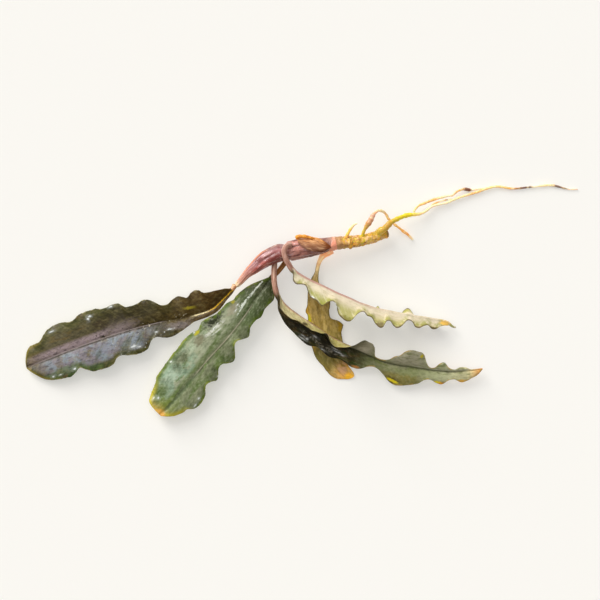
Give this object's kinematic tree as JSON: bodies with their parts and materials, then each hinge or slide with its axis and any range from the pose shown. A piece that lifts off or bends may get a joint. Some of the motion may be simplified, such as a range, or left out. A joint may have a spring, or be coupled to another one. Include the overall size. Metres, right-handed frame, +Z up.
{
  "type": "bucephalandra aquarium plant cutting",
  "caption": "Bare-root aquarium plant cutting lying on its side: a creeping rhizome with a sheathed tip, narrow wavy-edged leaves on stalks, and trailing roots.",
  "frame": {"origin": "on the surface the cutting lies on, under the middle of its outline", "axes": "+X along the cutting from the tip of the newest leaf to the root tips, +Y towards the side the roots reach, +Z up from the surface"},
  "size_m": [0.1656, 0.0697, 0.0132],
  "materials": {
    "rhizome": "moist tan-brown skin with ring scars",
    "sheath": "glossy, furrowed, mauve pink",
    "scale": "papery, orange brown",
    "leaf_dark": "glossy dark olive leaf with a bluish sheen",
    "leaf_green": "glossy green leaf with a pale sheen",
    "leaf_pale": "satin pale yellow-green leaf underside",
    "leaf_olive": "glossy olive to near-black leaf",
    "leaf_brown": "satin olive-brown leaf",
    "root": "moist golden-yellow root skin"
  },
  "bodies": {
    "root": {"rhizome": "rhizome", "shoot_sheath": "sheath", "scale_leaf": "scale", "leaf_newest": "leaf_dark", "leaf_green": "leaf_green", "leaf_folded": "leaf_pale", "leaf_twisted": "leaf_olive", "leaf_short": "leaf_brown", "root_long": "root", "root_strand": "root", "root_hooked": "root", "root_short": "root"}
  },
  "joints": []
}
